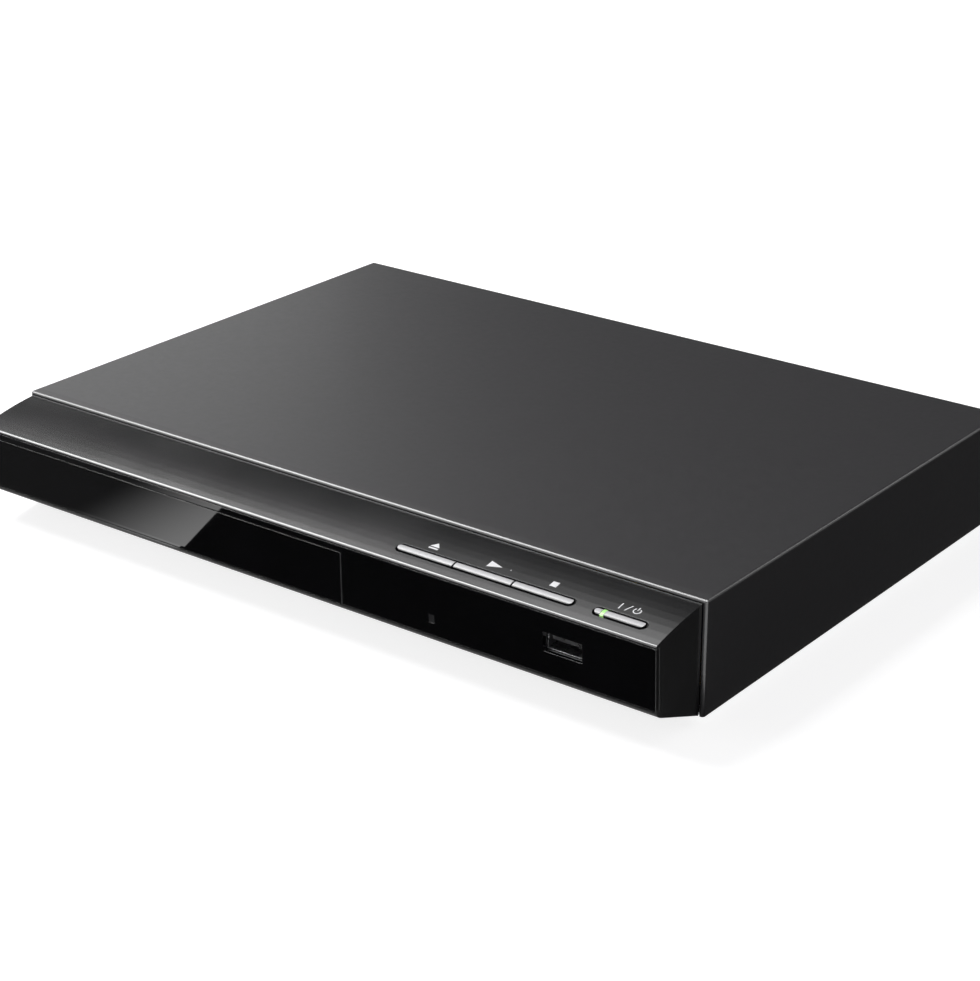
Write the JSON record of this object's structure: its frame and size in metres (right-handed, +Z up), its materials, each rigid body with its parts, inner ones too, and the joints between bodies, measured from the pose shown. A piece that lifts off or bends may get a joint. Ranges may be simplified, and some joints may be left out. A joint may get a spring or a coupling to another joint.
{
  "type": "disc player with tray",
  "caption": "Slim disc player: steel case, sloped front with keys, motorised disc tray with gear train, tilting traverse with pickup, boards and rear sockets.",
  "frame": {"origin": "middle of the outline on the surface the feet stand on", "axes": "+Z up, the front with the tray faces -Y, +X to the right seen from the front"},
  "size_m": [0.27, 0.207, 0.0385],
  "materials": {
    "top_cover": "satin powder coat",
    "bottom_chassis": "zinc-plated sheet",
    "rear_panel": "satin black",
    "front_panel": "metallic dark grey",
    "front_fascia": "piano black",
    "remote_window": "smoked",
    "power_lens": "translucent green",
    "eject_button": "silver",
    "play_button": "silver",
    "stop_button": "silver",
    "power_button": "silver",
    "usb_socket": "nickel",
    "feet": "matt",
    "cover_screws": "black oxide",
    "hdmi_socket": "nickel",
    "scart_socket": "matt",
    "jack_block": "matt",
    "jack_barrels": "nickel",
    "jack_rings": "coloured",
    "cord_gland": "matt",
    "loader_base": "matt",
    "clamper_bridge": "zinc-plated",
    "clamper": "matt",
    "clamper_cap": "matt",
    "loading_motor": "plated",
    "motor_pulley": "turned",
    "drive_belt": "matt",
    "pulley_gear": "acetal",
    "drive_gear": "acetal",
    "cam_slider": "acetal",
    "disc_tray": "fine grain",
    "tray_door": "piano black",
    "lift_frame": "matt",
    "traverse_frame": "die-cast",
    "dampers": "matt",
    "spindle_motor": "plated",
    "spindle_rotor": "plated",
    "turntable": "matt",
    "turntable_pad": "matt",
    "guide_rods": "ground",
    "pickup_body": "die-cast",
    "pickup_rack": "acetal",
    "lens_holder": "matt",
    "objective_lens": "coated",
    "sled_motor": "plated",
    "sled_pinion": "acetal",
    "sled_gear": "acetal",
    "main_board": "solder mask",
    "main_chips": "matt",
    "connectors": "matt",
    "power_board": "phenolic",
    "transformer": "taped winding",
    "capacitors": "sleeved",
    "heat_sink": "extruded",
    "front_boards": "solder mask",
    "tact_switches": "matt",
    "remote_receiver": "epoxy",
    "power_led": "clear epoxy",
    "inner_screws": "zinc-plated",
    "ribbon_cables": "film"
  },
  "bodies": {
    "case": {"top_cover": "top_cover", "bottom_chassis": "bottom_chassis", "rear_panel": "rear_panel", "front_panel": "front_panel", "front_fascia": "front_fascia", "remote_window": "remote_window", "power_lens": "power_lens", "usb_socket": "usb_socket", "feet": "feet", "cover_screws": "cover_screws", "hdmi_socket": "hdmi_socket", "scart_socket": "scart_socket", "jack_block": "jack_block", "jack_barrels": "jack_barrels", "jack_rings": "jack_rings", "cord_gland": "cord_gland", "loader_base": "loader_base", "clamper_bridge": "clamper_bridge", "loading_motor": "loading_motor", "drive_belt": "drive_belt", "main_board": "main_board", "main_chips": "main_chips", "connectors": "connectors", "power_board": "power_board", "transformer": "transformer", "capacitors": "capacitors", "heat_sink": "heat_sink", "front_boards": "front_boards", "tact_switches": "tact_switches", "remote_receiver": "remote_receiver", "power_led": "power_led", "inner_screws": "inner_screws", "ribbon_cables": "ribbon_cables"},
    "tray": {"disc_tray": "disc_tray", "tray_door": "tray_door"},
    "traverse": {"lift_frame": "lift_frame", "traverse_frame": "traverse_frame", "dampers": "dampers", "spindle_motor": "spindle_motor", "guide_rods": "guide_rods", "sled_motor": "sled_motor"},
    "spindle": {"spindle_rotor": "spindle_rotor", "turntable": "turntable", "turntable_pad": "turntable_pad"},
    "pickup": {"pickup_body": "pickup_body", "pickup_rack": "pickup_rack"},
    "lens": {"lens_holder": "lens_holder", "objective_lens": "objective_lens"},
    "sled_wheel": {"sled_gear": "sled_gear"},
    "sled_drive": {"sled_pinion": "sled_pinion"},
    "belt_drive": {"motor_pulley": "motor_pulley"},
    "belt_wheel": {"pulley_gear": "pulley_gear"},
    "rack_wheel": {"drive_gear": "drive_gear"},
    "cam": {"cam_slider": "cam_slider"},
    "clamp": {"clamper": "clamper", "clamper_cap": "clamper_cap"},
    "eject_key": {"eject_button": "eject_button"},
    "play_key": {"play_button": "play_button"},
    "stop_key": {"stop_button": "stop_button"},
    "power_key": {"power_button": "power_button"}
  },
  "joints": [
    {"name": "tray_slide", "type": "slide", "parent": "case", "child": "tray", "axis": [0, -1, 0], "range_m": [0, 0.134]},
    {"name": "rack_wheel_spin", "type": "hinge", "parent": "case", "child": "rack_wheel", "pos_m": [-0.0056, -0.074, 0.0182], "axis": [0, 0, 1], "continuous": true},
    {"name": "belt_wheel_spin", "type": "hinge", "parent": "case", "child": "belt_wheel", "pos_m": [-0.02724, -0.0798, 0.0183], "axis": [0, 0, 1], "continuous": true},
    {"name": "belt_drive_spin", "type": "hinge", "parent": "case", "child": "belt_drive", "pos_m": [-0.06124, -0.0718, 0.0183], "axis": [0, 0, 1], "continuous": true},
    {"name": "traverse_lift", "type": "hinge", "parent": "case", "child": "traverse", "pos_m": [-0.0536, 0.07, 0.0144], "axis": [1, 0, 0], "range_deg": [-3.8, 0]},
    {"name": "cam_slide", "type": "slide", "parent": "case", "child": "cam", "axis": [1, 0, 0], "range_m": [-0.02202, 0]},
    {"name": "spindle_spin", "type": "hinge", "parent": "traverse", "child": "spindle", "pos_m": [-0.0536, -0.03408, 0.01971], "axis": [0, -0.0663, 0.9978], "continuous": true},
    {"name": "clamp_spin", "type": "hinge", "parent": "case", "child": "clamp", "pos_m": [-0.0536, -0.0335, 0.029], "axis": [0, 0, 1], "continuous": true},
    {"name": "pickup_slide", "type": "slide", "parent": "traverse", "child": "pickup", "axis": [0, 0.9978, 0.0663], "range_m": [0, 0.034]},
    {"name": "sled_wheel_spin", "type": "hinge", "parent": "traverse", "child": "sled_wheel", "pos_m": [-0.0911, 0.01684, 0.01498], "axis": [0, -0.0663, 0.9978], "continuous": true},
    {"name": "sled_drive_spin", "type": "hinge", "parent": "traverse", "child": "sled_drive", "pos_m": [-0.0911, 0.02548, 0.01325], "axis": [0, -0.0663, 0.9978], "continuous": true},
    {"name": "lens_focus", "type": "slide", "parent": "pickup", "child": "lens", "axis": [0, -0.0663, 0.9978], "range_m": [-0.0004, 0.0004], "stiffness_N_per_m": 120},
    {"name": "eject_press", "type": "slide", "parent": "case", "child": "eject_key", "axis": [0, 0.224, -0.9746], "range_m": [0, 0.0003], "stiffness_N_per_m": 4000},
    {"name": "play_press", "type": "slide", "parent": "case", "child": "play_key", "axis": [0, 0.224, -0.9746], "range_m": [0, 0.0003], "stiffness_N_per_m": 4000},
    {"name": "stop_press", "type": "slide", "parent": "case", "child": "stop_key", "axis": [0, 0.224, -0.9746], "range_m": [0, 0.0003], "stiffness_N_per_m": 4000},
    {"name": "power_press", "type": "slide", "parent": "case", "child": "power_key", "axis": [0, 0.224, -0.9746], "range_m": [0, 0.0003], "stiffness_N_per_m": 4000}
  ],
  "couplings": [
    {"joint": "rack_wheel_spin", "follows": "tray_slide", "rad_per_m": -100},
    {"joint": "belt_wheel_spin", "follows": "tray_slide", "rad_per_m": 300},
    {"joint": "belt_drive_spin", "follows": "tray_slide", "rad_per_m": 924.16},
    {"joint": "cam_slide", "follows": "traverse_lift", "m_per_rad": 0.33171},
    {"joint": "clamp_spin", "follows": "spindle_spin", "ratio": 1},
    {"joint": "sled_wheel_spin", "follows": "pickup_slide", "rad_per_m": 285.71},
    {"joint": "sled_drive_spin", "follows": "pickup_slide", "rad_per_m": -685.71}
  ]
}
